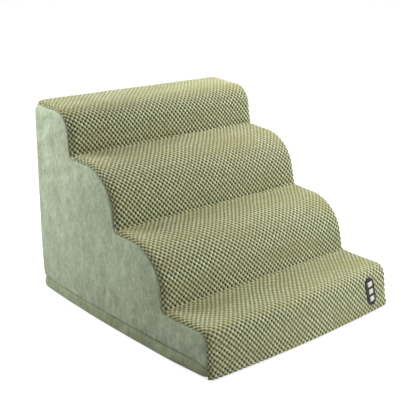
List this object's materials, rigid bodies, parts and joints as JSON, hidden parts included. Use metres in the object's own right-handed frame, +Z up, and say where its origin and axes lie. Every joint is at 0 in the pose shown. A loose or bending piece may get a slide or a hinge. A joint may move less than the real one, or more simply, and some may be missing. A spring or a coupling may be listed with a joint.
{
  "type": "pet stairs",
  "caption": "Low foam stairs for a small pet, with rounded curving steps, a bubble-plush tread cover, smooth cloth side walls and a zip across the back.",
  "frame": {"origin": "on the floor, under the middle of the stairs", "axes": "+X to the right seen from the front, +Y from the front riser to the back, +Z up"},
  "size_m": [0.488, 0.534, 0.3996],
  "materials": {
    "foam": "matt open-cell polyurethane foam",
    "bubble_plush": "soft bubble-textured plush, sage green",
    "wall_cloth": "smooth brushed cloth, pale sage",
    "band_cloth": "smooth brushed cloth, olive sage",
    "grip_cloth": "woven cloth with moulded anti-slip dots",
    "zip_tape": "woven tape",
    "zip_teeth": "moulded teeth",
    "zip_metal": "die-cast, satin",
    "patch": "dark felt-backed patch, plain"
  },
  "bodies": {
    "stairs": {"foam_core": "foam", "tread_cover": "bubble_plush", "left_wall": "wall_cloth", "right_wall": "wall_cloth", "back_wall": "wall_cloth", "base_band": "band_cloth", "base_panel": "grip_cloth", "zip_tape_upper": "zip_tape", "zip_tape_lower": "zip_tape", "zip_teeth_upper": "zip_teeth", "zip_teeth_lower": "zip_teeth", "zip_top_stops": "zip_teeth", "zip_bottom_stop": "zip_teeth", "riser_patch": "patch"},
    "slider": {"zip_slider": "zip_metal"},
    "pull": {"zip_pull": "zip_metal"}
  },
  "joints": [
    {"name": "slider_travel", "type": "slide", "parent": "stairs", "child": "slider", "axis": [1, 0, 0], "range_m": [-0.36, 0], "deforming": ["zip_teeth_upper", "zip_teeth_lower"]},
    {"name": "pull_swing", "type": "hinge", "parent": "slider", "child": "pull", "pos_m": [0.1899, 0.2601, 0.0292], "axis": [0, 0, -1], "range_deg": [0, 170]}
  ]
}
